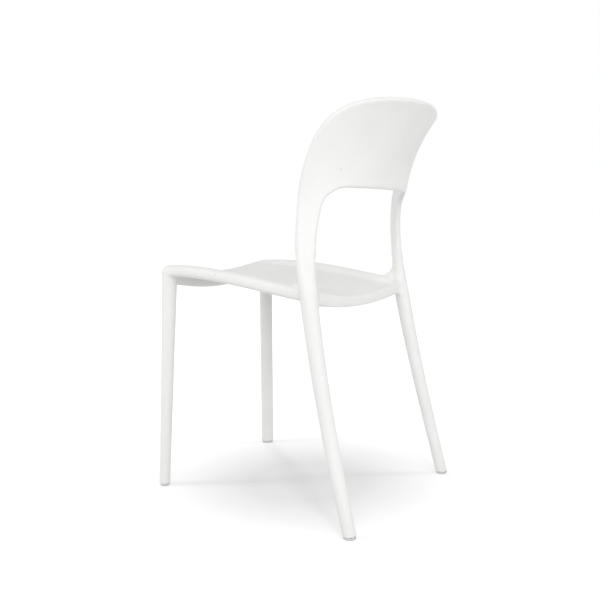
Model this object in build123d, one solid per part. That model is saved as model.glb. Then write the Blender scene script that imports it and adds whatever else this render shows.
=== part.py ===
from build123d import *
import math
import os

# A stacking chair moulded in one piece, on four push-in glides. Millimetres, +Z up. The front faces -Y,
# +X is the sitter's left, and the origin lies on the floor below the middle of the chair's depth.
# The moulding is divided where its limbs meet, so that each limb is a solid of its own.

# Feet: the front ones are ovals with their broad side to the seat's middle, the rear ones are round
FRONT_FOOT_X = 188.0
FRONT_FOOT_Y = -242.0
REAR_FOOT_X = 210.0
REAR_FOOT_Y = 226.0
FRONT_FOOT_LONG = 29.0
FRONT_FOOT_SHORT = 21.8
FRONT_FOOT_TURN = 45.0
REAR_FOOT_WIDTH = 24.8

# Front corners, where a front leg ends at the height of the seat rim
CORNER_X = 170.5
CORNER_Y = -233.5
CORNER_Z = 471.0
FRONT_LEG_TOP_WIDTH = 32.0
CORNER_ROUNDING = 14.0

# Hips, where a rear leg turns into a back upright
HIP_X = 192.6
HIP_Y = 129.4
HIP_Z = 414.0
HIP_WIDTH = 33.0
SHIN_BOW = Vector(1.6, -5.4, 0)

# Waist, the slimmest and foremost place of a back upright, a drop below the shoulder. Over the neck below it
# the round leg flattens.
WAIST_X = 184.0
WAIST_Y = 117.5
WAIST_DROP = 42.0
WAIST_WIDTH = 38.0
WAIST_THICKNESS = 13.5
NECK_LENGTH = 164.0

# Back: it grows out of the shoulders, wraps around the sitter on two radii and leans backwards on another
SHOULDER_Y = 120.0
SHOULDER_Z = 580.0
BACK_HEIGHT = 205.0
BACK_HALF_WIDTH = 193.0
BACK_THICKNESS = 11.0
WRAP_RADIUS_LOW = 254.5
WRAP_RADIUS_TOP = 298.0
LEAN_RADIUS = 321.5

# Crown of the back, a low arch with two soft corners, and the opening below the back
CROWN_CORNER = 134.0
CROWN_SQUARENESS = 5.2
CROWN_DROP = 17.0
OPENING_RISE = 42.2
OPENING_TOP_HALF_WIDTH = 153.5
OPENING_SHOULDER_HALF_WIDTH = 162.5
OPENING_RADIUS = 31.5

# Seat rim: the side rails bow outwards and fall to the rear, with their crest drawn as a curve on two handles
RAIL_HEIGHT = 24.5
RAIL_FRONT_WIDTH = 28.0
RAIL_REAR_WIDTH = 25.0
RAIL_INSET = 8.0
RAIL_RISE = 22.0
RAIL_FRONT_HANDLE = Vector(26, 106, 9)
RAIL_REAR_HANDLE = Vector(4, -136, 20)

# Front lip and rear apron, the two cross rails of the seat
LIP_SAG = 22.0
LIP_BOW = 25.0
LIP_THICKNESS = 14.0
LIP_MIDDLE_HEIGHT = 34.0
LIP_END_HEIGHT = 42.0
APRON_INSET = 11.5
APRON_SAG = 22.5
APRON_THICKNESS = 9.0
APRON_MIDDLE_HEIGHT = 21.5
APRON_END_HEIGHT = 29.0

# Seat pan, a dished sheet below the crest of the rim
PAN_THICKNESS = 5.0
RIM_STEP = 10.0
DISH_FRONT = 17.0
DISH_MIDDLE = 27.0
DISH_REAR = 19.0

# Glides, pressed into the hollow leg ends
GLIDE_PAD = 4.0
GLIDE_INSET = 1.2
GLIDE_ROUNDING = 1.2
SPIGOT_DIAMETER = 12.0
SPIGOT_LENGTH = 20.0
SPIGOT_RING = 0.6
SPIGOT_RINGS = 3
GLIDE_CLEARANCE = 0.15
LEG_BORE_DEPTH = 40.0

# How finely the sections are drawn
RING_STEPS = 48
SKIN_TOLERANCE = 0.02
ROUND = 2.0
SOFT_SQUARE = 2.6
PAN_SQUARE = 4.0
UP = Vector(0, 0, 1)

# Places that the left half's pieces share
FRONT_FOOT = Vector(FRONT_FOOT_X, FRONT_FOOT_Y, GLIDE_PAD)
FRONT_CORNER = Vector(CORNER_X, CORNER_Y, CORNER_Z)
REAR_FOOT = Vector(REAR_FOOT_X, REAR_FOOT_Y, GLIDE_PAD)
HIP = Vector(HIP_X, HIP_Y, HIP_Z)
WAIST = Vector(WAIST_X, WAIST_Y, SHOULDER_Z - WAIST_DROP)
SHOULDER = Vector((OPENING_SHOULDER_HALF_WIDTH + BACK_HALF_WIDTH) / 2, SHOULDER_Y, SHOULDER_Z)
RAIL_REAR = Vector(HIP_X - RAIL_INSET, HIP_Y, HIP_Z + RAIL_RISE)


def flat_vector(degrees):
    """Horizontal unit vector at an angle from +X."""
    return Vector(math.cos(math.radians(degrees)), math.sin(math.radians(degrees)), 0)


def blend(start, end, share):
    """Value or vector the given share of the way from start to end."""
    return start + (end - start) * share


def ease(share):
    """Share between 0 and 1 that starts and ends gently."""
    share = min(1, max(0, share))
    return share * share * (3 - 2 * share)


def ring(place, thickness, squareness, nose=1):
    """Closed ring of points around a sheet or bar. place(u) gives its middle line and normal for u from -1
    to 1. Each half closes over the nose, a share of it, in an end that is squarer the higher squareness is."""
    points = []
    for i in range(RING_STEPS):
        angle = 2 * math.pi * i / RING_STEPS
        u = math.cos(angle)
        closing = max(0, 1 - (1 - abs(u)) / nose)
        v = math.copysign((1 - closing**squareness) ** (1 / squareness), math.sin(angle))
        point, normal = place(u)
        points.append(point + normal * (v * thickness / 2))
    return points + points[:1]


def bar(centre, across, normal, width, thickness, squareness, nose=1):
    """Ring around a straight bar, with its width along across and its thickness along normal."""
    return ring(lambda u: (centre + across * (u * width / 2), normal), thickness, squareness, nose)


def level_bar(centre, turn, width, thickness, nose=1):
    """Level ring around a leg or upright whose broad face is turned outwards from the rear."""
    return bar(centre, flat_vector(-turn), flat_vector(90 - turn), width, thickness, ROUND, nose)


def skin(rings):
    """Solid with a smooth skin through the rings and a flat cap on the first and the last."""
    tube = Face.make_surface_from_array_of_points(rings, tol=SKIN_TOLERANCE, min_deg=3, max_deg=3)
    caps = [Face(Wire([edge])) for edge in tube.edges() if edge.is_closed]
    return Solid(Shell([tube, *caps]))


def whole(shape):
    """The one solid that a cut leaves."""
    return shape.solids().sort_by(SortBy.VOLUME)[-1]


def cut(solid, *others):
    """Solid with the neighbours taken away, so that it meets each of them face to face."""
    return whole(solid - list(others))


def arc_depth(radius, reach):
    """How far an arc falls back from its tangent at a reach along it."""
    return radius - math.sqrt(radius**2 - reach**2)


def back_point(x, z):
    """Point of the middle surface of the back at a place in the front view. Its level arcs open out towards
    the top, and the lowest one runs through the shoulders."""
    rise = z - SHOULDER_Z
    radius = blend(WRAP_RADIUS_LOW, WRAP_RADIUS_TOP, (rise / BACK_HEIGHT) ** 2)
    middle_y = SHOULDER_Y + arc_depth(WRAP_RADIUS_LOW, SHOULDER.X) + arc_depth(LEAN_RADIUS, rise)
    return Vector(x, middle_y - arc_depth(radius, x), z)


def back_normal(x, z):
    """Unit normal of the back's middle surface, facing the rear."""
    along_x = back_point(x + 1, z) - back_point(x - 1, z)
    along_z = back_point(x, z + 1) - back_point(x, z - 1)
    return along_z.cross(along_x).normalized()


def back_outlines():
    """Front-view outlines of the left half of the back, from the shoulder up to the centre plane: the outer
    edge, and the edge of the opening."""
    top_z = SHOULDER_Z + BACK_HEIGHT
    side_top_z = top_z - CROWN_CORNER
    crown = []
    steps = 12
    for i in range(steps + 1):
        angle = math.pi / 2 * i / steps
        x = BACK_HALF_WIDTH - CROWN_CORNER * (1 - math.cos(angle) ** (2 / CROWN_SQUARENESS))
        height = CROWN_CORNER - CROWN_DROP * (x / BACK_HALF_WIDTH) ** 2
        crown.append((x, side_top_z + height * math.sin(angle) ** (2 / CROWN_SQUARENESS)))
    crown.append((0, top_z))
    side = Line((BACK_HALF_WIDTH, SHOULDER_Z), (BACK_HALF_WIDTH, side_top_z))
    outer = Wire([side, Spline(*crown, tangents=[(0, 1), (-1, 0)])])
    opening = FilletPolyline(
        (OPENING_SHOULDER_HALF_WIDTH, SHOULDER_Z),
        (OPENING_TOP_HALF_WIDTH, SHOULDER_Z + OPENING_RISE),
        (0, SHOULDER_Z + OPENING_RISE),
        radius=OPENING_RADIUS,
    )
    return outer, opening


def back_ring(inner, outer):
    """Ring with round ends around the back, from a place on the opening's edge to one on the outer edge."""

    def place(u):
        x = blend(inner[0], outer[0], (1 + u) / 2)
        z = blend(inner[1], outer[1], (1 + u) / 2)
        return back_point(x, z), back_normal(x, z)

    width = (back_point(*outer) - back_point(*inner)).length
    return ring(place, BACK_THICKNESS, ROUND, BACK_THICKNESS / width)


def backrest():
    """The wrapped back above the shoulders: one ribbon that runs up, over the opening and down again."""
    outer, opening = back_outlines()
    rings = []
    steps = 20
    for i in range(-steps, steps + 1):
        share = 1 - abs(i) / steps
        side = math.copysign(1, -i)
        inside = opening @ share
        outside = outer @ share
        rings.append(back_ring((side * inside.X, inside.Y), (side * outside.X, outside.Y)))
    return skin(rings)


def rear_limb():
    """Left rear leg and back upright in one sweep, round up to the hip and then a turned bar with round
    edges that widens into the back."""
    shin = blend(REAR_FOOT, HIP, 0.5) + SHIN_BOW
    stations = [REAR_FOOT, shin, HIP, WAIST, SHOULDER]
    path = Edge.make_spline(stations, parameters=[station.Z for station in stations])
    turn = math.degrees(math.asin(SHOULDER.X / WRAP_RADIUS_LOW))
    shoulder_width = (BACK_HALF_WIDTH - OPENING_SHOULDER_HALF_WIDTH) / math.cos(math.radians(turn))
    rings = []
    steps = 24
    for i in range(steps):
        centre = path.position_at(i / steps, position_mode=PositionMode.PARAMETER)
        leg_share = min(1, (centre.Z - GLIDE_PAD) / (HIP_Z - GLIDE_PAD))
        neck_share = ease(1 - (WAIST.Z - centre.Z) / NECK_LENGTH)
        top_share = max(0, (centre.Z - WAIST.Z) / WAIST_DROP)
        leg_width = blend(REAR_FOOT_WIDTH, HIP_WIDTH, leg_share)
        width = blend(blend(leg_width, WAIST_WIDTH, neck_share), shoulder_width, top_share)
        thickness = blend(blend(leg_width, WAIST_THICKNESS, neck_share), BACK_THICKNESS, top_share)
        rings.append(level_bar(centre, turn, width, thickness, thickness / width))
    rings.append(back_ring((OPENING_SHOULDER_HALF_WIDTH, SHOULDER_Z), (BACK_HALF_WIDTH, SHOULDER_Z)))
    return skin(rings), (shin - REAR_FOOT).normalized()


def front_leg():
    """Left front leg: a straight taper from an oval foot to a round corner, closed by a dome."""
    axis = (FRONT_CORNER - FRONT_FOOT).normalized()
    neck = FRONT_CORNER - axis * (CORNER_ROUNDING / axis.Z)
    rings = []
    steps = 8
    for i in range(steps):
        share = i / steps
        long = blend(FRONT_FOOT_LONG, FRONT_LEG_TOP_WIDTH, share)
        short = blend(FRONT_FOOT_SHORT, FRONT_LEG_TOP_WIDTH, share)
        rings.append(level_bar(blend(FRONT_FOOT, neck, share), -FRONT_FOOT_TURN, long, short))
    for i in range(steps + 1):
        angle = math.pi / 2 * i / steps
        centre = blend(neck, FRONT_CORNER, math.sin(angle))
        width = FRONT_LEG_TOP_WIDTH - 2 * CORNER_ROUNDING * (1 - math.cos(angle))
        rings.append(level_bar(centre, -FRONT_FOOT_TURN, width, width))
    return skin(rings), axis


def rail_crest():
    """Crest of the left side rail, from the front corner to the hip."""
    return Bezier(FRONT_CORNER, FRONT_CORNER + RAIL_FRONT_HANDLE, RAIL_REAR + RAIL_REAR_HANDLE, RAIL_REAR)


def side_rail():
    """Left side rail of the seat, a rounded bar below its crest."""
    crest = rail_crest()
    rings = []
    steps = 12
    for i in range(steps + 1):
        share = i / steps
        along = crest % share
        outwards = along.cross(UP).normalized()
        upwards = outwards.cross(along)
        centre = (crest @ share) - upwards * (RAIL_HEIGHT / 2)
        width = blend(RAIL_FRONT_WIDTH, RAIL_REAR_WIDTH, share)
        rings.append(bar(centre, outwards, upwards, width, RAIL_HEIGHT, SOFT_SQUARE))
    return skin(rings)


def cross_rail(end, sag, bow, thickness, middle_height, end_height):
    """Rail across the seat from end to its mirror image. It sags and bows along Y towards its middle."""
    rings = []
    steps = 12
    for i in range(steps + 1):
        share = 1 - 2 * i / steps
        away = 1 - share * share
        height = blend(end_height, middle_height, away)
        centre = Vector(end.X * share, end.Y + bow * away, end.Z - sag * away - height / 2)
        rings.append(bar(centre, UP, Vector(0, 1, 0), height, thickness, SOFT_SQUARE))
    return skin(rings)


def seat_pan():
    """Dished sheet of straight rows from rail to rail, starting under the middle of the front lip."""
    crest = rail_crest()
    swell = DISH_MIDDLE - (DISH_FRONT + DISH_REAR) / 2
    rings = []
    steps = 12
    for i in range(-1, steps + 1):
        share = max(0, i / steps)
        edge = crest @ share
        row_y = edge.Y if i >= 0 else edge.Y - LIP_BOW
        dish = blend(DISH_FRONT, DISH_REAR, share) + swell * 4 * share * (1 - share)
        rim_z = edge.Z - RIM_STEP - PAN_THICKNESS / 2

        def place(u):
            return Vector(edge.X * u, row_y, rim_z - dish * (1 - u * u)), UP

        rings.append(ring(place, PAN_THICKNESS, PAN_SQUARE))
    return skin(rings)


def leg_bore(foot, axis):
    """Hollow end of a leg, along the leg's own direction."""
    radius = SPIGOT_DIAMETER / 2 + GLIDE_CLEARANCE
    start = foot - axis * GLIDE_PAD
    return Solid.make_cylinder(radius, LEG_BORE_DEPTH + GLIDE_PAD, Plane(start, z_dir=axis))


def glide(foot, axis, long, short, turn):
    """Push-in glide: a rounded pad a little inside the leg's end, and a ringed spigot up its bore."""
    ground = Plane(Vector(foot.X, foot.Y, 0), x_dir=flat_vector(turn))
    pad = extrude(ground * Ellipse(long / 2 - GLIDE_INSET, short / 2 - GLIDE_INSET), GLIDE_PAD)
    pad = fillet(pad.edges().group_by(Axis.Z)[0], GLIDE_ROUNDING)
    sunk = GLIDE_PAD / 2
    core = SPIGOT_DIAMETER / 2 - SPIGOT_RING
    spigot = Solid.make_cylinder(core, SPIGOT_LENGTH + sunk, Plane(foot - axis * sunk, z_dir=axis))
    ring_height = SPIGOT_LENGTH / (2 * SPIGOT_RINGS)
    for i in range(SPIGOT_RINGS):
        ring_start = foot + axis * (SPIGOT_LENGTH - ring_height * (2 * i + 1))
        spigot += Solid.make_cone(SPIGOT_DIAMETER / 2, core, ring_height, Plane(ring_start, z_dir=axis))
    return whole(pad + spigot)


# Limbs of the left half, each one whole
limb, limb_axis = rear_limb()
leg, leg_axis = front_leg()
rail = cut(side_rail(), leg, limb)

# Cross rails and pan, cut to meet the limbs of both halves
limbs = [limb, limb.mirror(Plane.YZ)]
legs = [leg, leg.mirror(Plane.YZ)]
rails = [rail, rail.mirror(Plane.YZ)]
hip_end = Vector(HIP_X - APRON_INSET, HIP_Y, RAIL_REAR.Z)
lip = cross_rail(FRONT_CORNER, LIP_SAG, -LIP_BOW, LIP_THICKNESS, LIP_MIDDLE_HEIGHT, LIP_END_HEIGHT)
apron = cross_rail(hip_end, APRON_SAG, 0, APRON_THICKNESS, APRON_MIDDLE_HEIGHT, APRON_END_HEIGHT)
lip = cut(lip, *legs, *rails)
apron = cut(apron, *limbs, *rails)
pan = cut(seat_pan(), lip, apron, *legs, *limbs, *rails)

# The rear limb divides at the hip into leg and upright, and both legs are hollow at the foot
hip_plane = Plane.XY.offset(HIP_Z)
upright = whole(split(limb, bisect_by=hip_plane, keep=Keep.TOP))
rear_leg = whole(split(limb, bisect_by=hip_plane, keep=Keep.BOTTOM))
rear_leg = cut(rear_leg, leg_bore(REAR_FOOT, limb_axis))
leg = cut(leg, leg_bore(FRONT_FOOT, leg_axis))

middle_pieces = {
    "seat_pan": pan,
    "front_lip": lip,
    "rear_apron": apron,
    "backrest": backrest(),
}
left_pieces = {
    "front_{}_leg": leg,
    "rear_{}_leg": rear_leg,
    "{}_side_rail": rail,
    "{}_back_upright": upright,
    "front_{}_glide": glide(FRONT_FOOT, leg_axis, FRONT_FOOT_LONG, FRONT_FOOT_SHORT, FRONT_FOOT_TURN),
    "rear_{}_glide": glide(REAR_FOOT, limb_axis, REAR_FOOT_WIDTH, REAR_FOOT_WIDTH, 0),
}

os.makedirs("parts", exist_ok=True)
for name, solid in middle_pieces.items():
    export_step(solid, f"parts/{name}.step")
for name, solid in left_pieces.items():
    export_step(solid, f"parts/{name.format('left')}.step")
    export_step(solid.mirror(Plane.YZ), f"parts/{name.format('right')}.step")
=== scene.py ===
import math

import bpy
import numpy as np
from mathutils import Matrix, Vector


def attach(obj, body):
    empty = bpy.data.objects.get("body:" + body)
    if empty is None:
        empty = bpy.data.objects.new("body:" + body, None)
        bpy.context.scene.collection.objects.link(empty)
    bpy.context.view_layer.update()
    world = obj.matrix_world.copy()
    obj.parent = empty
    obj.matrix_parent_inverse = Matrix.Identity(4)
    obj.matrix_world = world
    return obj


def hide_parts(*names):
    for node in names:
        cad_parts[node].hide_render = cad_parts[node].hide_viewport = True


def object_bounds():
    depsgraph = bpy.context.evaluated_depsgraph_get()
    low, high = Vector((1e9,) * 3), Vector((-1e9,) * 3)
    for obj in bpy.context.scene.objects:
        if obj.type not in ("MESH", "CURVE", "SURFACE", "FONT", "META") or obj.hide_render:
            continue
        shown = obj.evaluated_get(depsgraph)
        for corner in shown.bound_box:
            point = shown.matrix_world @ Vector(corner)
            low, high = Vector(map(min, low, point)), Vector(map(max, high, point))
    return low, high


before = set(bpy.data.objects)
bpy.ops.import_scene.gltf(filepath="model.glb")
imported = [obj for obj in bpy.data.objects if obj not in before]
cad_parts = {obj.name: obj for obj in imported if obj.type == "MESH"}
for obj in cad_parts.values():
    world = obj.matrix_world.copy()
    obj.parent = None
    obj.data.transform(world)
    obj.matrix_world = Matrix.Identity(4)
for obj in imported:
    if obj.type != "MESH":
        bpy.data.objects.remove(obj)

cad_low, cad_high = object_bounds()

# Rear limbs: each rear leg runs up into a back upright in one sweep, a bar blown hollow by gas in the mould.
# It is round from the foot to the hip, then flattens into a strip whose broad face is turned outwards.
# Lengths are in metres, and x is the distance from the centre plane, since both halves are alike.
GLIDE_TOP = 0.004
REAR_FOOT = (0.210, 0.226, GLIDE_TOP)
SHIN = (0.2029, 0.1723, 0.209)
HIP = (0.1926, 0.1294, 0.414)
WAIST = (0.184, 0.1175, 0.538)
SHOULDER = (0.17775, 0.120, 0.580)
REAR_FOOT_WIDTH = 0.0248
HIP_WIDTH = 0.033
WAIST_WIDTH = 0.038
WAIST_THICKNESS = 0.0135
NECK_LENGTH = 0.164
SHOULDER_WIDTH = 0.0427
SHOULDER_THICKNESS = 0.011
SHOULDER_EASE = 0.03
STRIP_TURN = math.radians(44.4)
FOOT_EDGE = 0.0012
LIMB_STEPS = 400


def ease(share):
    """Share from 0 to 1 that starts and ends level: three times its square less twice its cube."""
    share = np.clip(share, 0, 1)
    return share * share * (3 - 2 * share)


def blend(start, end, share):
    """Value the given share of the way from start to end."""
    return start + (end - start) * share


def rounded_cut(a, b, radius):
    """What lies inside both a and b, with the edge between them rounded to a radius."""
    outside = np.hypot(np.maximum(a + radius, 0), np.maximum(b + radius, 0))
    return outside + np.minimum(np.maximum(a, b) + radius, 0) - radius


def limb_path(heights):
    """Middle line of a rear limb at given heights: the curve through the five stations that bends least,
    cubic in between with equal slope and bend from both sides at each station."""
    stations = np.array([REAR_FOOT, SHIN, HIP, WAIST, SHOULDER])
    z = stations[:, 2]
    gaps = np.diff(z)
    rises = np.diff(stations, axis=0) / gaps[:, None]
    ties = np.diag(2 * (gaps[:-1] + gaps[1:])) + np.diag(gaps[1:-1], 1) + np.diag(gaps[1:-1], -1)
    bends = np.pad(np.linalg.solve(ties, 6 * np.diff(rises, axis=0)), ((1, 1), (0, 0)))
    span = np.clip(np.searchsorted(z, heights) - 1, 0, len(gaps) - 1)
    gap = gaps[span][:, None]
    on = (heights - z[span])[:, None]
    off = gap - on
    line = (stations[span] * off + stations[span + 1] * on) / gap
    return line - on * off / (6 * gap) * (bends[span] * (gap + off) + bends[span + 1] * (gap + on))


LIMB_HEIGHTS = np.linspace(GLIDE_TOP, SHOULDER[2], LIMB_STEPS)
LIMB_PATH = limb_path(LIMB_HEIGHTS)


def below_shoulder(z):
    """Height, held at the shoulder's from there on, with a short ease instead of a corner."""
    near = np.clip(1 - np.abs(z - SHOULDER[2]) / SHOULDER_EASE, 0, 1)
    return np.minimum(z, SHOULDER[2]) - SHOULDER_EASE * near**2 / 4


def limb_section(z):
    """Centre, width and thickness of a rear limb at a height: the sizes grow evenly to the hip, ease into the
    waist over the neck and widen to the shoulder."""
    height = np.maximum(below_shoulder(z), GLIDE_TOP)
    leg = blend(REAR_FOOT_WIDTH, HIP_WIDTH, np.minimum(1, (height - GLIDE_TOP) / (HIP[2] - GLIDE_TOP)))
    neck = ease(1 - (WAIST[2] - height) / NECK_LENGTH)
    top = np.maximum(0, (height - WAIST[2]) / (SHOULDER[2] - WAIST[2]))
    width = blend(blend(leg, WAIST_WIDTH, neck), SHOULDER_WIDTH, top)
    thickness = blend(blend(leg, WAIST_THICKNESS, neck), SHOULDER_THICKNESS, top)
    centre_x = np.interp(height, LIMB_HEIGHTS, LIMB_PATH[:, 0])
    centre_y = np.interp(height, LIMB_HEIGHTS, LIMB_PATH[:, 1])
    return centre_x, centre_y, width, thickness


def rear_limb(x, y, z):
    """Distance from a rear limb: at each height a strip with round edges about its centre, turned outwards,
    which is a circle where it is as thick as wide."""
    centre_x, centre_y, width, thickness = limb_section(z)
    away_x = x - centre_x
    away_y = y - centre_y
    across = away_x * math.cos(STRIP_TURN) - away_y * math.sin(STRIP_TURN)
    through = away_x * math.sin(STRIP_TURN) + away_y * math.cos(STRIP_TURN)
    beyond = np.maximum(np.abs(across) - (width - thickness) / 2, 0)
    return rounded_cut(np.hypot(beyond, through) - thickness / 2, GLIDE_TOP - z, FOOT_EDGE)


# Backrest: a sheet of even thickness with a full round rim, wrapped around the sitter and leaning backwards.
# It is moulded in one with the uprights, and its lower edge stands over an opening with round corners.
BACK_TOP = 0.7847
BACK_HALF_WIDTH = 0.193
WRAP_RADIUS_LOW = 0.2545
WRAP_RADIUS_TOP = 0.298
LEAN_RADIUS = 0.3215
CROWN_CORNER = 0.134
CROWN_SQUARENESS = 5.2
CROWN_DROP = 0.017
OPENING_TOP = 0.6222
OPENING_SIDE_SLOPE = 0.213
OPENING_RADIUS = 0.0315
FADE_LOW = 0.500
FADE_HIGH = 0.560
ARC_LIMIT = 0.93
SLOPE_STEP = 0.0005
LEAST_SHARE = 1e-3
LEAST_LENGTH = 1e-9


def oval(a, b, half_a, half_b, power):
    """Distance from a superellipse, |a / half_a| to the power plus |b / half_b| to the power equal to one:
    its share of the size, less one, over the steepness of that share."""
    a = np.abs(a) / half_a
    b = np.abs(b) / half_b
    share = np.maximum((a**power + b**power) ** (1 / power), LEAST_SHARE)
    steepness = np.hypot(a ** (power - 1) / half_a, b ** (power - 1) / half_b) * share ** (1 - power)
    return (share - 1) / np.maximum(steepness, LEAST_SHARE)


def arc_depth(radius, reach):
    """How far an arc falls back from its tangent at a reach along it, held before the arc stands upright."""
    return radius - np.sqrt(radius**2 - np.minimum(reach, ARC_LIMIT * radius) ** 2)


def back_y(x, z):
    """Middle surface of the back: level arcs through the centres of the uprights, and above the shoulders
    arcs whose radius opens towards the top, set back along a lean arc."""
    centre_x, centre_y, _, _ = limb_section(z)
    rise = z - below_shoulder(z)
    radius = blend(WRAP_RADIUS_LOW, WRAP_RADIUS_TOP, (rise / (BACK_TOP - SHOULDER[2])) ** 2)
    middle = centre_y + arc_depth(WRAP_RADIUS_LOW, centre_x) + arc_depth(LEAN_RADIUS, rise)
    return middle - arc_depth(radius, x)


def slope_along(across, up, slope_x, slope_z):
    """Slope of a sheet in a direction of the front view: the mean of its two slopes, weighted by how far the
    direction goes across and up, over the direction's length."""
    return (across * slope_x + up * slope_z) / np.maximum(np.hypot(across, up), LEAST_LENGTH)


def backrest(x, y, z):
    """Distance from the back: a sheet about its middle surface with a round rim. In the front view the rim
    is a low arch with soft corners over two sides that run into the uprights, less an opening with round
    corners."""
    slope_x = (back_y(x + SLOPE_STEP, z) - back_y(x - SLOPE_STEP, z)) / (2 * SLOPE_STEP)
    slope_z = (back_y(x, z + SLOPE_STEP) - back_y(x, z - SLOPE_STEP)) / (2 * SLOPE_STEP)
    steepness = np.sqrt(1 + slope_x**2 + slope_z**2)
    through = (y - back_y(x, z)) / steepness
    x = x + through * slope_x / steepness
    z = z + through * slope_z / steepness
    centre_x, _, width, thickness = limb_section(z)
    flare = centre_x - SHOULDER[0] + (width - SHOULDER_WIDTH) / 2 * math.cos(STRIP_TURN)
    narrow = centre_x - SHOULDER[0] - (width - SHOULDER_WIDTH) / 2 * math.cos(STRIP_TURN)
    corner_x = np.maximum(x - flare - BACK_HALF_WIDTH + CROWN_CORNER, 0) / CROWN_CORNER
    arch = CROWN_CORNER - CROWN_DROP * np.minimum(x / BACK_HALF_WIDTH, 1) ** 2
    corner_z = np.maximum(z - BACK_TOP + CROWN_CORNER, 0) / arch
    crown_x = corner_x ** (CROWN_SQUARENESS - 1)
    crown_z = corner_z ** (CROWN_SQUARENESS - 1)
    crown_tilt = slope_along(crown_x, crown_z, slope_x, slope_z)
    crown = oval(corner_x, corner_z, 1, 1, CROWN_SQUARENESS) * CROWN_CORNER
    opening_x = SHOULDER[0] - SHOULDER_WIDTH / 2 * math.cos(STRIP_TURN) + narrow
    opening_x = opening_x - OPENING_SIDE_SLOPE * (z - below_shoulder(z))
    side = x - opening_x
    over = z - OPENING_TOP
    round_x = np.maximum(side + OPENING_RADIUS, 0)
    round_z = np.maximum(over + OPENING_RADIUS, 0)
    opening_tilt = slope_along(round_x, round_z, slope_x, slope_z)
    opening = rounded_cut(side, over, OPENING_RADIUS)
    edge = np.maximum(crown * np.sqrt(1 + crown_tilt**2), -opening * np.sqrt(1 + opening_tilt**2))
    return np.hypot(np.maximum(edge + thickness / 2, 0), through) - thickness / 2


# Front legs: straight bars of the same moulding that taper from a round top to an oval foot, whose broad side
# faces the middle of the seat. Each ends under a rounded corner of the seat rim.
FRONT_FOOT = (0.188, -0.242, GLIDE_TOP)
FRONT_CORNER = (0.1705, -0.2335, 0.471)
FRONT_FOOT_LONG = 0.029
FRONT_FOOT_SHORT = 0.0218
FRONT_LEG_TOP_WIDTH = 0.032
FRONT_FOOT_TURN = math.radians(45)
CORNER_ROUNDING = 0.010
CORNER_SINK = 0.004


def front_leg(x, y, z):
    """Distance from a front leg: an oval at each height about a straight line, with a rounded top."""
    share = np.clip((z - FRONT_FOOT[2]) / (FRONT_CORNER[2] - FRONT_FOOT[2]), 0, 1)
    away_x = x - blend(FRONT_FOOT[0], FRONT_CORNER[0], share)
    away_y = y - blend(FRONT_FOOT[1], FRONT_CORNER[1], share)
    along = away_x * math.cos(FRONT_FOOT_TURN) + away_y * math.sin(FRONT_FOOT_TURN)
    across = away_y * math.cos(FRONT_FOOT_TURN) - away_x * math.sin(FRONT_FOOT_TURN)
    long = blend(FRONT_FOOT_LONG, FRONT_LEG_TOP_WIDTH, share)
    short = blend(FRONT_FOOT_SHORT, FRONT_LEG_TOP_WIDTH, share)
    bar = oval(along, across, long / 2, short / 2, 2)
    bar = rounded_cut(bar, z - FRONT_CORNER[2] + CORNER_SINK, CORNER_ROUNDING)
    return rounded_cut(bar, GLIDE_TOP - z, FOOT_EDGE)


# Side rails: rounded bars of the seat rim, gas channels again, that bow outwards and fall to the rear.
# They start in the front corners and run into the uprights from the inside.
RAIL_REAR = (0.1846, 0.1294, 0.436)
RAIL_FRONT_HANDLE = (0.026, 0.106, 0.009)
RAIL_REAR_HANDLE = (0.004, -0.136, 0.020)
RAIL_HEIGHT = 0.0245
RAIL_FRONT_WIDTH = 0.028
RAIL_REAR_WIDTH = 0.025
RAIL_SQUARENESS = 2.6
RAIL_FRONT_REACH = 0.009
RAIL_FRONT_ROUNDING = 0.009
RAIL_END_ROUNDING = 0.010
CREST_STEPS = 200


def rail_crest():
    """Crest of a side rail as rows of points: a cubic curve on four control points."""
    t = np.linspace(0, 1, CREST_STEPS)[:, None]
    front = np.array(FRONT_CORNER)
    rear = np.array(RAIL_REAR)
    front_part = (1 - t) ** 3 * front + 3 * (1 - t) ** 2 * t * (front + RAIL_FRONT_HANDLE)
    return front_part + 3 * (1 - t) * t**2 * (rear + RAIL_REAR_HANDLE) + t**3 * rear


CREST = rail_crest()
CREST_SLOPES = np.gradient(CREST, axis=0) / np.gradient(CREST[:, 1])[:, None]


def crest_x(y):
    """Distance of the rail's crest from the centre plane at a depth."""
    return np.interp(y, CREST[:, 1], CREST[:, 0])


def crest_z(y):
    """Height of the rail's crest at a depth."""
    return np.interp(y, CREST[:, 1], CREST[:, 2])


def side_rail(x, y, z):
    """Distance from a side rail: a rounded bar carried along the crest, with its middle half its height
    below it."""
    plan_slope = np.interp(y, CREST[:, 1], CREST_SLOPES[:, 0])
    fall = np.interp(y, CREST[:, 1], CREST_SLOPES[:, 2])
    across = (x - crest_x(y)) / np.sqrt(1 + plan_slope**2)
    below = (z - crest_z(y)) / np.sqrt(1 + fall**2) + RAIL_HEIGHT / 2
    share = np.clip((y - FRONT_CORNER[1]) / (RAIL_REAR[1] - FRONT_CORNER[1]), 0, 1)
    width = blend(RAIL_FRONT_WIDTH, RAIL_REAR_WIDTH, share)
    bar = oval(across, below, width / 2, RAIL_HEIGHT / 2, RAIL_SQUARENESS)
    bar = rounded_cut(bar, y - RAIL_REAR[1], RAIL_END_ROUNDING)
    return rounded_cut(bar, FRONT_CORNER[1] - RAIL_FRONT_REACH - y, RAIL_FRONT_ROUNDING)


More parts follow.
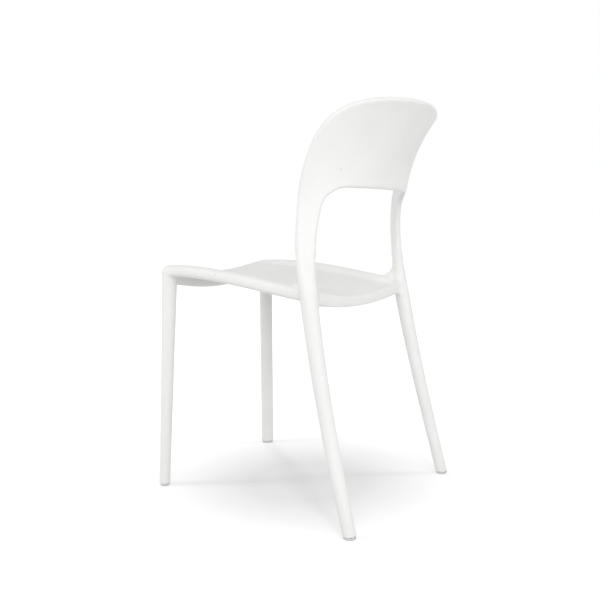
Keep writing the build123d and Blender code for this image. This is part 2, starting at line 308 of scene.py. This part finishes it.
# Cross rails: the front lip, which bows forwards and sags, and the thinner rear apron between the hips.
# Both are walls of the moulding that stiffen the seat's open ends.
LIP_MIDDLE_Z = 0.449
LIP_BOW = 0.0249
LIP_THICKNESS = 0.014
LIP_END_INSET = 0.002
LIP_END_ROUNDING = 0.010
LIP_HEIGHTS = (0.042, 0.034)
LIP_LEVELLING = 1.45
APRON_HALF_WIDTH = 0.1811
APRON_MIDDLE_Z = 0.4135
APRON_THICKNESS = 0.009
APRON_HEIGHTS = (0.029, 0.0215)


def lip_y(x):
    """Depth of the front lip's middle line: a parabola between the front corners."""
    return FRONT_CORNER[1] - LIP_BOW * (1 - (x / FRONT_CORNER[0]) ** 2)


def front_lip(x, y, z):
    """Distance from the front lip: an upright oval carried along a line that bows as a parabola, and sags
    as a parabola to a power, which levels out at the corners."""
    away = 1 - np.minimum(x / FRONT_CORNER[0], 1) ** 2
    height = blend(*LIP_HEIGHTS, away)
    below = z - blend(FRONT_CORNER[2], LIP_MIDDLE_Z, away**LIP_LEVELLING) + height / 2
    plan_slope = 2 * LIP_BOW * x / FRONT_CORNER[0] ** 2
    through = (y - lip_y(x)) / np.sqrt(1 + plan_slope**2)
    bar = oval(through, below, LIP_THICKNESS / 2, height / 2, RAIL_SQUARENESS)
    return rounded_cut(bar, x - FRONT_CORNER[0] + LIP_END_INSET, LIP_END_ROUNDING)


def rear_apron(x, y, z):
    """Distance from the rear apron: an upright oval carried along a straight line that sags as a parabola."""
    away = 1 - np.minimum(x / APRON_HALF_WIDTH, 1) ** 2
    height = blend(*APRON_HEIGHTS, away)
    below = z - blend(RAIL_REAR[2], APRON_MIDDLE_Z, away) + height / 2
    bar = oval(y - HIP[1], below, APRON_THICKNESS / 2, height / 2, RAIL_SQUARENESS)
    return np.maximum(bar, x - APRON_HALF_WIDTH)


# Seat pan: a thin dished sheet that hangs a step below the crest of the rim and drains to the rear.
# It is the one part of the moulding without a gas channel. Towards the front lip the step halves.
PAN_THICKNESS = 0.005
RIM_STEP = 0.010
FRONT_STEP = 0.005
FRONT_ROLL = 0.09
RAIL_TUCK = 0.010
LIP_TUCK = 0.006
DISH_FRONT = 0.017
DISH_MIDDLE = 0.027
DISH_REAR = 0.019


def pan_z(x, y):
    """Middle surface of the pan: a parabola across each row, as deep as the dish is at that depth. The step
    below the crest grows over the front roll."""
    share = np.clip((y - FRONT_CORNER[1]) / (RAIL_REAR[1] - FRONT_CORNER[1]), 0, 1)
    swell = DISH_MIDDLE - (DISH_FRONT + DISH_REAR) / 2
    dish = blend(DISH_FRONT, DISH_REAR, share) + swell * 4 * share * (1 - share)
    away = 1 - np.minimum(x / crest_x(y), 1) ** 2
    step = blend(FRONT_STEP, RIM_STEP, ease((y - lip_y(x)) / FRONT_ROLL))
    return crest_z(y) - step - PAN_THICKNESS / 2 - dish * away


def seat_pan(x, y, z):
    """Distance from the pan: a sheet about its middle surface, ending inside the rails, lip and apron."""
    slope_x = (pan_z(x + SLOPE_STEP, y) - pan_z(x, y)) / SLOPE_STEP
    slope_y = (pan_z(x, y + SLOPE_STEP) - pan_z(x, y - SLOPE_STEP)) / (2 * SLOPE_STEP)
    sheet = np.abs(z - pan_z(x, y)) / np.sqrt(1 + slope_x**2 + slope_y**2) - PAN_THICKNESS / 2
    inside = np.maximum(x - crest_x(y) + RAIL_TUCK, np.maximum(lip_y(x) + LIP_TUCK - y, y - HIP[1]))
    return np.maximum(sheet, inside)


# Moulding: all of the above is one piece of injection-moulded polypropylene without a seam, so one skin runs
# over it. Where two limbs meet, their distances melt into each other and leave the mould's round corners.
# The largest of these lies on the rails' crests, in front of the uprights.
UPRIGHT_FILLET = 0.034
UNDER_FILLET = 0.003
FILLET_HALF_WIDTH = 0.013
FILLET_EASE = 0.012
FILLET_DROP = 0.0196
FILLET_PAST_HIP = 0.0048
CORNER_FILLET = 0.007
APRON_FILLET = 0.014
PAN_FILLET = 0.012
CREASE_FILLET = 0.006
SURFACE_STEP = 0.00315
DRAWING_ROUNDS = 3


def melt(a, b, fillet):
    """Union of two distances with a round inner corner: the smaller one, less a bump where they are alike."""
    share = np.clip(0.5 + (b - a) / (2 * fillet), 0, 1)
    return blend(b, a, share) - fillet * share * (1 - share)


def arc_join(a, b, radius):
    """Union of two distances with an arc in the inner corner: the radius, less how far the point lies from
    the arc's centre, which is a radius away from both."""
    reach = np.hypot(np.maximum(radius - a, 0), np.maximum(radius - b, 0))
    return np.maximum(np.minimum(a, b), radius) - reach


def moulding_distance(points):
    """Distance of each point from the skin of the whole moulding, negative inside."""
    x = np.abs(points[:, 0])
    y = points[:, 1]
    z = points[:, 2]
    back = blend(rear_limb(x, y, z), backrest(x, y, z), ease((z - FADE_LOW) / (FADE_HIGH - FADE_LOW)))
    rail = side_rail(x, y, z)
    front = melt(melt(front_leg(x, y, z), rail, CORNER_FILLET), front_lip(x, y, z), CORNER_FILLET)
    above = ease((z - crest_z(y) + FILLET_DROP) / RAIL_HEIGHT)
    before = ease((HIP[1] + FILLET_PAST_HIP - y) / FILLET_EASE)
    within = ease((FILLET_HALF_WIDTH - np.abs(x - crest_x(y))) / FILLET_EASE)
    fillet = blend(UNDER_FILLET, UPRIGHT_FILLET, above * before * within)
    body = np.minimum(front, arc_join(back, rail, fillet))
    apron = rear_apron(x, y, z)
    pan = seat_pan(x, y, z)
    seat = np.minimum(melt(body, pan, PAN_FILLET), melt(apron, pan, CREASE_FILLET))
    return np.minimum(melt(body, apron, APRON_FILLET), seat)


def grid_distances(low, counts, step, near):
    """Distances at the corners of a grid: every fourth corner stands for those around it, and only where the
    skin may be near are all of them worked out."""
    block = 4
    coarse = [np.arange(0, count + block, block) for count in counts]
    corners = np.stack(np.meshgrid(*coarse, indexing="ij"), axis=-1)
    rough = near(low + corners.reshape(-1, 3) * step).reshape(corners.shape[:3])
    spread = rough
    for axis in range(3):
        spread = np.repeat(spread, block, axis=axis)
    spread = np.roll(spread, block // 2, axis=(0, 1, 2))[: counts[0], : counts[1], : counts[2]].copy()
    close = np.argwhere(np.abs(spread) < block * step * 2)
    spread[tuple(close.T)] = near(low + close * step)
    return spread


def skin_mesh(near, low, high, step):
    """Surface where a distance is nought. Each grid cell that the surface crosses gets one point, the mean of
    the crossings on its edges, and each crossed edge a quad of the four cells around it. The points are then
    drawn onto the surface along its slope, which also gives the normals."""
    margin = 3 * step
    low = np.array(low) - margin
    counts = np.ceil((np.array(high) + margin - low) / step).astype(int) + 1
    values = grid_distances(low, counts, step, near)
    inside = values < 0
    cells, spots, quads = [], [], []
    for axis in range(3):
        ahead = np.eye(3, dtype=int)[axis]
        start = np.argwhere(np.diff(inside, axis=axis))
        first = values[tuple(start.T)]
        second = values[tuple((start + ahead).T)]
        crossing = start + ahead * (first / (first - second))[:, None]
        side_a = np.eye(3, dtype=int)[(axis + 1) % 3]
        side_b = np.eye(3, dtype=int)[(axis + 2) % 3]
        around = np.stack([start, start - side_a, start - side_a - side_b, start - side_b], axis=1)
        around = np.where((first < 0)[:, None, None], around, around[:, ::-1])
        keys = np.ravel_multi_index(tuple(np.moveaxis(around, -1, 0)), counts)
        quads.append(keys)
        cells.append(keys.ravel())
        spots.append(np.repeat(crossing, 4, axis=0))
    cells = np.concatenate(cells)
    spots = np.concatenate(spots)
    used, index = np.unique(cells, return_inverse=True)
    shares = np.bincount(index)[:, None]
    points = np.stack([np.bincount(index, spots[:, k]) for k in range(3)], axis=1) / shares
    points = low + points * step
    nudge = step / 10
    sides = nudge * np.eye(3)
    least_steepness = 0.1
    for _ in range(DRAWING_ROUNDS):
        value = near(points)
        slope = np.stack([(near(points + side) - value) / nudge for side in sides], axis=1)
        move = slope * (value / np.maximum((slope**2).sum(axis=1), least_steepness))[:, None]
        points = points - np.clip(move, -step / 2, step / 2)
    slope = np.stack([near(points + side) - near(points - side) for side in sides], axis=1)
    normals = slope / np.linalg.norm(slope, axis=1)[:, None]
    return points, np.searchsorted(used, np.concatenate(quads)), normals


def mesh_object(name, points, faces, normals=None):
    """Smooth-shaded object at the origin with its place in its mesh, and its normals where they are known."""
    mesh = bpy.data.meshes.new(name)
    mesh.from_pydata(points.tolist(), [], faces.tolist())
    mesh.shade_smooth()
    if normals is not None:
        mesh.normals_split_custom_set_from_vertices(normals.tolist())
    piece = bpy.data.objects.new(name, mesh)
    bpy.context.scene.collection.objects.link(piece)
    return piece


moulding = mesh_object("moulding", *skin_mesh(moulding_distance, cad_low, cad_high, SURFACE_STEP))


def linear(code):
    """Linear colour of an sRGB hex value."""
    levels = np.array([int(code[i : i + 2], 16) for i in (1, 3, 5)]) / 255
    curved = np.where(levels <= 0.04045, levels / 12.92, ((levels + 0.055) / 1.055) ** 2.4)
    return (*curved, 1.0)


def add_node(tree, kind, settings, inputs, links):
    """One node with its settings, the values of its inputs, and links to them from other nodes' outputs."""
    node = tree.nodes.new(kind)
    for name, value in settings.items():
        setattr(node, name, value)
    for name, value in inputs.items():
        node.inputs[name].default_value = value
    for name, socket in links.items():
        tree.links.new(socket, node.inputs[name])
    return node


# Satin polypropylene, moulded against a finely eroded tool: a soft broad highlight, an even white with faint
# clouds from the flow, and a grain of a third of a millimetre, which is drawn coarser so that it shows.
# Two small dull marks, on the left rail and the back, are where the plastic entered the mould.
GRAIN = 0.0012
GRAIN_DEPTH = 0.0002
FLOW = 0.09
NOISE_LOW = 0.3
NOISE_HIGH = 0.7
GATE_SIZE = 0.004
RAIL_GATE = (0.2016, -0.0836, 0.458)
BACK_GATE = (0.1426, 0.1652, 0.6541)
white = bpy.data.materials.new("satin_white_polypropylene")
white.use_nodes = True
tree = white.node_tree
tree.nodes.clear()
place = add_node(tree, "ShaderNodeTexCoord", {}, {}, {})
flow = add_node(
    tree,
    "ShaderNodeTexNoise",
    {},
    {"Scale": 1 / FLOW, "Detail": 3.0, "Roughness": 0.5},
    {"Vector": place.outputs["Object"]},
)
grain = add_node(
    tree,
    "ShaderNodeTexNoise",
    {},
    {"Scale": 1 / GRAIN, "Detail": 2.0, "Roughness": 0.6},
    {"Vector": place.outputs["Object"]},
)
tint = add_node(tree, "ShaderNodeValToRGB", {}, {}, {"Fac": flow.outputs["Fac"]})
tint.color_ramp.elements[0].position = NOISE_LOW
tint.color_ramp.elements[0].color = linear("#ECECEA")
tint.color_ramp.elements[1].position = NOISE_HIGH
tint.color_ramp.elements[1].color = linear("#F1F1EF")
rail_gate, back_gate = [
    add_node(
        tree,
        "ShaderNodeVectorMath",
        {"operation": "DISTANCE"},
        {1: gate},
        {0: place.outputs["Object"]},
    )
    for gate in (RAIL_GATE, BACK_GATE)
]
gates = add_node(
    tree,
    "ShaderNodeMath",
    {"operation": "MINIMUM"},
    {},
    {0: rail_gate.outputs["Value"], 1: back_gate.outputs["Value"]},
)
clear = add_node(
    tree,
    "ShaderNodeMapRange",
    {},
    {"From Min": GATE_SIZE / 4, "From Max": GATE_SIZE / 2},
    {"Value": gates.outputs["Value"]},
)
marked = add_node(
    tree,
    "ShaderNodeMixRGB",
    {},
    {"Color1": linear("#D6D6D3")},
    {"Fac": clear.outputs["Result"], "Color2": tint.outputs["Color"]},
)
polish = add_node(
    tree,
    "ShaderNodeMapRange",
    {},
    {"From Min": NOISE_LOW, "From Max": NOISE_HIGH, "To Min": 0.34, "To Max": 0.42},
    {"Value": grain.outputs["Fac"]},
)
relief = add_node(
    tree,
    "ShaderNodeBump",
    {},
    {"Strength": 0.08, "Distance": GRAIN_DEPTH},
    {"Height": grain.outputs["Fac"]},
)
shader = add_node(
    tree,
    "ShaderNodeBsdfPrincipled",
    {},
    {"IOR": 1.49},
    {
        "Base Color": marked.outputs["Color"],
        "Roughness": polish.outputs["Result"],
        "Normal": relief.outputs["Normal"],
    },
)
add_node(tree, "ShaderNodeOutputMaterial", {}, {}, {"Surface": shader.outputs["BSDF"]})
moulding.data.materials.append(white)
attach(moulding, "root")
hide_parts(*[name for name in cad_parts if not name.endswith("glide")])

# Glides: push-in pads of pale grey polyamide under the leg ends, left as the CAD nodes with their own finish.
# They are matte, and their grey is darker in the lowest two millimetres, unevenly.
DARK_BAND_HEIGHT = 0.0012
grey = bpy.data.materials.new("matte_grey_polyamide")
grey.use_nodes = True
tree = grey.node_tree
tree.nodes.clear()
place = add_node(tree, "ShaderNodeTexCoord", {}, {}, {})
axes = add_node(tree, "ShaderNodeSeparateXYZ", {}, {}, {"Vector": place.outputs["Object"]})
speckle = add_node(
    tree,
    "ShaderNodeTexNoise",
    {},
    {"Scale": 1 / GRAIN, "Detail": 2.0},
    {"Vector": place.outputs["Object"]},
)
uneven = add_node(
    tree,
    "ShaderNodeMath",
    {"operation": "MULTIPLY_ADD"},
    {1: DARK_BAND_HEIGHT},
    {0: speckle.outputs["Fac"], 2: axes.outputs["Z"]},
)
# Darker towards the bottom: a darker grey below an uneven line a millimetre or two above the floor.
dark_band = add_node(
    tree,
    "ShaderNodeMapRange",
    {},
    {"From Min": DARK_BAND_HEIGHT / 2, "From Max": DARK_BAND_HEIGHT * 2},
    {"Value": uneven.outputs["Value"]},
)
tint = add_node(tree, "ShaderNodeValToRGB", {}, {}, {"Fac": dark_band.outputs["Result"]})
tint.color_ramp.elements[0].color = linear("#B4B4B0")
tint.color_ramp.elements[1].color = linear("#D6D7D6")
shader = add_node(
    tree,
    "ShaderNodeBsdfPrincipled",
    {},
    {"IOR": 1.53, "Roughness": 0.6},
    {"Base Color": tint.outputs["Color"]},
)
add_node(tree, "ShaderNodeOutputMaterial", {}, {}, {"Surface": shader.outputs["BSDF"]})
for name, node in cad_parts.items():
    if name.endswith("glide"):
        node.data.materials.clear()
        node.data.materials.append(grey)

# Floor: a plain white paper sweep, far wider than the picture. Light adds to it where the eye looks, so that
# it reads as white all over and keeps the chair's soft shadow. This glow is least under the chair and within
# the feet, which paints a darker shadow there on top of the lamps' real one. It throws back a little less
# light than it shows, which leaves the undersides in shade.
FLOOR_HALF = 12.0
# Painted shadow: the floor's glow at each distance from the middle, least under the chair and white beyond
# the feet.
SHADE_REACH = 0.12
SHADE_LIFT = 0.09
FEET_REACH = 0.41
FEET_LIFT = 0.44
WHITE_REACH = 3.0
WHITE_LIFT = 0.7


def eye_rays(tree):
    """Output that is one on rays from the eye, straight or by way of gloss or glass, and nought on others."""
    path = add_node(tree, "ShaderNodeLightPath", {}, {}, {})
    mirrored = add_node(
        tree,
        "ShaderNodeMath",
        {"operation": "MAXIMUM"},
        {},
        {0: path.outputs["Is Glossy Ray"], 1: path.outputs["Is Transmission Ray"]},
    )
    seen = add_node(
        tree,
        "ShaderNodeMath",
        {"operation": "MAXIMUM"},
        {},
        {0: path.outputs["Is Camera Ray"], 1: mirrored.outputs["Value"]},
    )
    return seen.outputs["Value"]


paper = bpy.data.materials.new("matte_white_paper")
paper.use_nodes = True
tree = paper.node_tree
tree.nodes.clear()
seen = eye_rays(tree)
place = add_node(tree, "ShaderNodeTexCoord", {}, {}, {})
away = add_node(
    tree, "ShaderNodeVectorMath", {"operation": "LENGTH"}, {}, {"Vector": place.outputs["Object"]}
)
share = add_node(
    tree, "ShaderNodeMapRange", {}, {"From Max": WHITE_REACH}, {"Value": away.outputs["Value"]}
)
# Painted shadow: the glow grows from the middle outwards, so the floor under the chair reads darker than the
# lamps leave it.
glow_with_painted_shadow = add_node(tree, "ShaderNodeValToRGB", {}, {}, {"Fac": share.outputs["Result"]})
glow_with_painted_shadow.color_ramp.elements[0].position = SHADE_REACH / WHITE_REACH
glow_with_painted_shadow.color_ramp.elements[0].color = (SHADE_LIFT, SHADE_LIFT, SHADE_LIFT, 1)
glow_with_painted_shadow.color_ramp.elements[1].color = (WHITE_LIFT, WHITE_LIFT, WHITE_LIFT, 1)
glow_with_painted_shadow.color_ramp.elements.new(FEET_REACH / WHITE_REACH).color = (FEET_LIFT, FEET_LIFT, FEET_LIFT, 1)
tone = add_node(
    tree,
    "ShaderNodeMixRGB",
    {},
    {"Color1": linear("#C8C8C8"), "Color2": linear("#D2D2D2")},
    {"Fac": seen},
)
matte = add_node(tree, "ShaderNodeBsdfDiffuse", {}, {}, {"Color": tone.outputs["Color"]})
glow = add_node(tree, "ShaderNodeEmission", {}, {}, {"Color": glow_with_painted_shadow.outputs["Color"], "Strength": seen})
both = add_node(
    tree, "ShaderNodeAddShader", {}, {}, {0: matte.outputs["BSDF"], 1: glow.outputs["Emission"]}
)
add_node(tree, "ShaderNodeOutputMaterial", {}, {}, {"Surface": both.outputs["Shader"]})
corners = np.array([[-1, -1, 0], [1, -1, 0], [1, 1, 0], [-1, 1, 0]]) * FLOOR_HALF
floor = mesh_object("floor", corners, np.array([[0, 1, 2, 3]]))
floor.data.materials.append(paper)

# Light: an even white room, and three soft square lamps on the camera's side of the chair, to its right, near
# and to its left. Four small lamps beyond the feet light the floor alone, and draw the legs' shadows on it.
ROOM_LIGHT = 0.64
ROOM_WHITE = 1.0
LAMP_SIZE = 1.6
SEAT_MIDDLE = (0.0, 0.0, 0.45)
FLOOR_MIDDLE = (0.0, 0.0, 0.0)
FLOOR_LAMP_REACH = 2.2
FLOOR_LAMP_HEIGHT = 1.2
FLOOR_LAMP_SIZE = 0.4
FLOOR_LAMP_POWER = 8.5
world = bpy.data.worlds.new("white_room")
world.use_nodes = True
tree = world.node_tree
tree.nodes.clear()
level = add_node(
    tree, "ShaderNodeMapRange", {}, {"To Min": ROOM_LIGHT, "To Max": ROOM_WHITE}, {"Value": eye_rays(tree)}
)
room = add_node(
    tree, "ShaderNodeBackground", {}, {"Color": linear("#FFFFFF")}, {"Strength": level.outputs["Result"]}
)
add_node(tree, "ShaderNodeOutputWorld", {}, {}, {"Surface": room.outputs["Background"]})
bpy.context.scene.world = world


def soft_lamp(name, place, aim, size, power):
    """Square lamp of a given side, turned towards a point."""
    data = bpy.data.lights.new(name, "AREA")
    data.size = size
    data.energy = power
    lamp = bpy.data.objects.new(name, data)
    lamp.matrix_world = Matrix.LocRotScale(
        Vector(place), (Vector(aim) - Vector(place)).to_track_quat("-Z", "Y"), None
    )
    bpy.context.scene.collection.objects.link(lamp)
    return lamp


soft_lamp("right_lamp", (0.79, 2.44, 1.2), SEAT_MIDDLE, LAMP_SIZE, 12.6)
soft_lamp("near_lamp", (2.2, 1.4, 1.5), SEAT_MIDDLE, LAMP_SIZE, 20.2)
soft_lamp("left_lamp", (1.7, -1.9, 1.2), SEAT_MIDDLE, LAMP_SIZE, 12.2)
lit_floor = bpy.data.collections.new("lit_floor")
lit_floor.objects.link(floor)
for side, mirror in (("left", 1), ("right", -1)):
    for end, foot in (("front", FRONT_FOOT), ("rear", REAR_FOOT)):
        place = Vector((mirror * foot[0], foot[1], 0)).normalized() * FLOOR_LAMP_REACH
        place.z = FLOOR_LAMP_HEIGHT
        name = f"{end}_{side}_floor_lamp"
        lamp = soft_lamp(name, place, FLOOR_MIDDLE, FLOOR_LAMP_SIZE, FLOOR_LAMP_POWER)
        lamp.light_linking.receiver_collection = lit_floor

# Camera: the photograph's view from the chair's rear left, from a little above the seat and looking slightly
# down. Its place, bearing and lens follow from the four feet on one floor and the mirrored halves.
CAMERA_PLACE = (1.2856, 0.8306, 0.5414)
CAMERA_BEARING = math.radians(123.384)
CAMERA_DIP = math.radians(5.438)
SENSOR_MM = 36
LENS_MM = 43.2
FRAME_SHIFT = (-0.0007, 0.0004)
camera_data = bpy.data.cameras.new("camera")
camera_data.sensor_width = SENSOR_MM
camera_data.lens = LENS_MM
camera_data.shift_x, camera_data.shift_y = FRAME_SHIFT
camera = bpy.data.objects.new("camera", camera_data)
look = Vector(
    (
        -math.sin(CAMERA_BEARING) * math.cos(CAMERA_DIP),
        math.cos(CAMERA_BEARING) * math.cos(CAMERA_DIP),
        -math.sin(CAMERA_DIP),
    )
)
camera.matrix_world = Matrix.LocRotScale(Vector(CAMERA_PLACE), look.to_track_quat("-Z", "Y"), None)
bpy.context.scene.collection.objects.link(camera)
bpy.context.scene.camera = camera
bpy.context.scene.view_settings.view_transform = "Standard"
